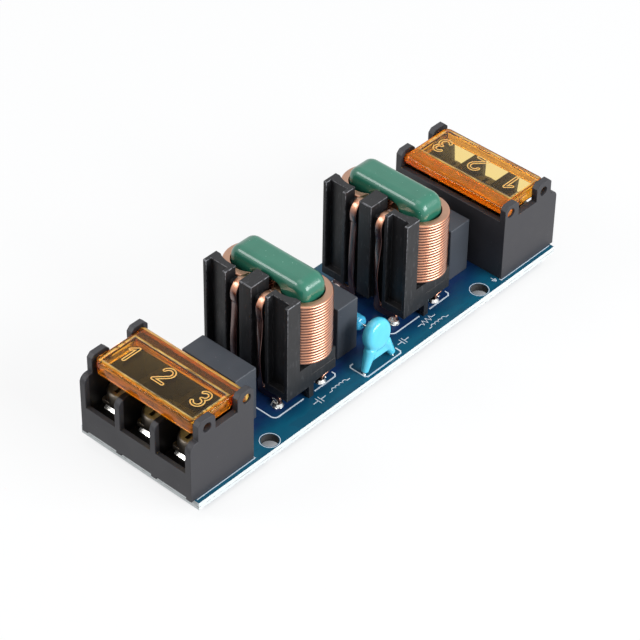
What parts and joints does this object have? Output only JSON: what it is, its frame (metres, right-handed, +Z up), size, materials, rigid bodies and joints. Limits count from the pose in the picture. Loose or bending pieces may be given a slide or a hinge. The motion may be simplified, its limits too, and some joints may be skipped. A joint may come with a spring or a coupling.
{
  "type": "emi line filter",
  "caption": "Mains line filter board with chokes, capacitors, a resistor and covered screw terminal blocks at both ends.",
  "frame": {"origin": "under the middle of the board, level with the tips of the terminal pins that it stands on", "axes": "+X along the board, from the front terminal block to the rear one; +Z up out of the component side"},
  "size_m": [0.0972, 0.0286, 0.0283],
  "materials": {
    "board_laminate": "glossy blue solder mask over glass-fibre laminate",
    "solder": "bright solder",
    "housing_plastic": "moulded dark grey-black plastic, satin",
    "cover_plastic": "clear amber polycarbonate, glossy",
    "plated_contact": "nickel-plated brass",
    "plated_steel": "nickel-plated steel",
    "choke_plastic": "black moulded plastic, satin",
    "core_coating": "green epoxy coating over ferrite, glossy",
    "copper_strip": "enamelled flat copper wire",
    "film_case_plastic": "dark grey moulded case, satin",
    "metallised_film": "metallised film",
    "potting_resin": "cast resin",
    "tinned_wire": "tinned copper wire",
    "disc_coating": "sky-blue epoxy dip coating, glossy",
    "resistor_coating": "light blue lacquer"
  },
  "bodies": {
    "root": {"circuit_board": "board_laminate", "solder_joints": "solder", "bleed_resistor_body": "resistor_coating", "bleed_resistor_leads": "tinned_wire", "front_terminal_housing": "housing_plastic", "front_contact_1": "plated_contact", "front_contact_2": "plated_contact", "front_contact_3": "plated_contact", "front_choke_base": "choke_plastic", "front_choke_core": "core_coating", "front_choke_near_winding": "copper_strip", "front_choke_far_winding": "copper_strip", "rear_terminal_housing": "housing_plastic", "rear_contact_1": "plated_contact", "rear_contact_2": "plated_contact", "rear_contact_3": "plated_contact", "rear_choke_base": "choke_plastic", "rear_choke_core": "core_coating", "rear_choke_near_winding": "copper_strip", "rear_choke_far_winding": "copper_strip", "film_capacitor_1_case": "film_case_plastic", "film_capacitor_1_roll": "metallised_film", "film_capacitor_1_resin": "potting_resin", "film_capacitor_1_leads": "tinned_wire", "film_capacitor_2_case": "film_case_plastic", "film_capacitor_2_roll": "metallised_film", "film_capacitor_2_resin": "potting_resin", "film_capacitor_2_leads": "tinned_wire", "film_capacitor_3_case": "film_case_plastic", "film_capacitor_3_roll": "metallised_film", "film_capacitor_3_resin": "potting_resin", "film_capacitor_3_leads": "tinned_wire", "disc_capacitor_near_body": "disc_coating", "disc_capacitor_near_leads": "tinned_wire", "disc_capacitor_far_body": "disc_coating", "disc_capacitor_far_leads": "tinned_wire"},
    "front_cover": {"front_terminal_cover": "cover_plastic"},
    "front_washer_1": {"front_clamp_washer_1": "plated_steel"},
    "front_screw_1": {"front_terminal_screw_1": "plated_steel"},
    "front_washer_2": {"front_clamp_washer_2": "plated_steel"},
    "front_screw_2": {"front_terminal_screw_2": "plated_steel"},
    "front_washer_3": {"front_clamp_washer_3": "plated_steel"},
    "front_screw_3": {"front_terminal_screw_3": "plated_steel"},
    "rear_cover": {"rear_terminal_cover": "cover_plastic"},
    "rear_washer_1": {"rear_clamp_washer_1": "plated_steel"},
    "rear_screw_1": {"rear_terminal_screw_1": "plated_steel"},
    "rear_washer_2": {"rear_clamp_washer_2": "plated_steel"},
    "rear_screw_2": {"rear_terminal_screw_2": "plated_steel"},
    "rear_washer_3": {"rear_clamp_washer_3": "plated_steel"},
    "rear_screw_3": {"rear_terminal_screw_3": "plated_steel"}
  },
  "joints": [
    {"name": "front_cover_hinge", "type": "hinge", "parent": "root", "child": "front_cover", "pos_m": [-0.03495, 0, 0.0182], "axis": [0, 1, 0], "range_deg": [0, 110]},
    {"name": "front_washer_1_travel", "type": "slide", "parent": "root", "child": "front_washer_1", "axis": [0, 0, 1], "range_m": [-0.00075, 0.0025]},
    {"name": "front_screw_1_turn", "type": "hinge", "parent": "front_washer_1", "child": "front_screw_1", "pos_m": [-0.043, 0.0085, 0.0036], "axis": [0, 0, 1], "range_deg": [-547, 1801]},
    {"name": "front_washer_2_travel", "type": "slide", "parent": "root", "child": "front_washer_2", "axis": [0, 0, 1], "range_m": [-0.00075, 0.0025]},
    {"name": "front_screw_2_turn", "type": "hinge", "parent": "front_washer_2", "child": "front_screw_2", "pos_m": [-0.043, 0, 0.0036], "axis": [0, 0, 1], "range_deg": [-547, 1801]},
    {"name": "front_washer_3_travel", "type": "slide", "parent": "root", "child": "front_washer_3", "axis": [0, 0, 1], "range_m": [-0.00075, 0.0025]},
    {"name": "front_screw_3_turn", "type": "hinge", "parent": "front_washer_3", "child": "front_screw_3", "pos_m": [-0.043, -0.0085, 0.0036], "axis": [0, 0, 1], "range_deg": [-547, 1801]},
    {"name": "rear_cover_hinge", "type": "hinge", "parent": "root", "child": "rear_cover", "pos_m": [0.03495, 0, 0.0182], "axis": [0, -1, 0], "range_deg": [0, 110]},
    {"name": "rear_washer_1_travel", "type": "slide", "parent": "root", "child": "rear_washer_1", "axis": [0, 0, 1], "range_m": [-0.00075, 0.0025]},
    {"name": "rear_screw_1_turn", "type": "hinge", "parent": "rear_washer_1", "child": "rear_screw_1", "pos_m": [0.043, -0.0085, 0.0036], "axis": [0, 0, 1], "range_deg": [-547, 1801]},
    {"name": "rear_washer_2_travel", "type": "slide", "parent": "root", "child": "rear_washer_2", "axis": [0, 0, 1], "range_m": [-0.00075, 0.0025]},
    {"name": "rear_screw_2_turn", "type": "hinge", "parent": "rear_washer_2", "child": "rear_screw_2", "pos_m": [0.043, 0, 0.0036], "axis": [0, 0, 1], "range_deg": [-547, 1801]},
    {"name": "rear_washer_3_travel", "type": "slide", "parent": "root", "child": "rear_washer_3", "axis": [0, 0, 1], "range_m": [-0.00075, 0.0025]},
    {"name": "rear_screw_3_turn", "type": "hinge", "parent": "rear_washer_3", "child": "rear_screw_3", "pos_m": [0.043, 0.0085, 0.0036], "axis": [0, 0, 1], "range_deg": [-547, 1801]}
  ],
  "couplings": [
    {"joint": "front_screw_1_turn", "follows": "front_washer_1_travel", "rad_per_m": 12566},
    {"joint": "front_screw_2_turn", "follows": "front_washer_2_travel", "rad_per_m": 12566},
    {"joint": "front_screw_3_turn", "follows": "front_washer_3_travel", "rad_per_m": 12566},
    {"joint": "rear_screw_1_turn", "follows": "rear_washer_1_travel", "rad_per_m": 12566},
    {"joint": "rear_screw_2_turn", "follows": "rear_washer_2_travel", "rad_per_m": 12566},
    {"joint": "rear_screw_3_turn", "follows": "rear_washer_3_travel", "rad_per_m": 12566}
  ]
}
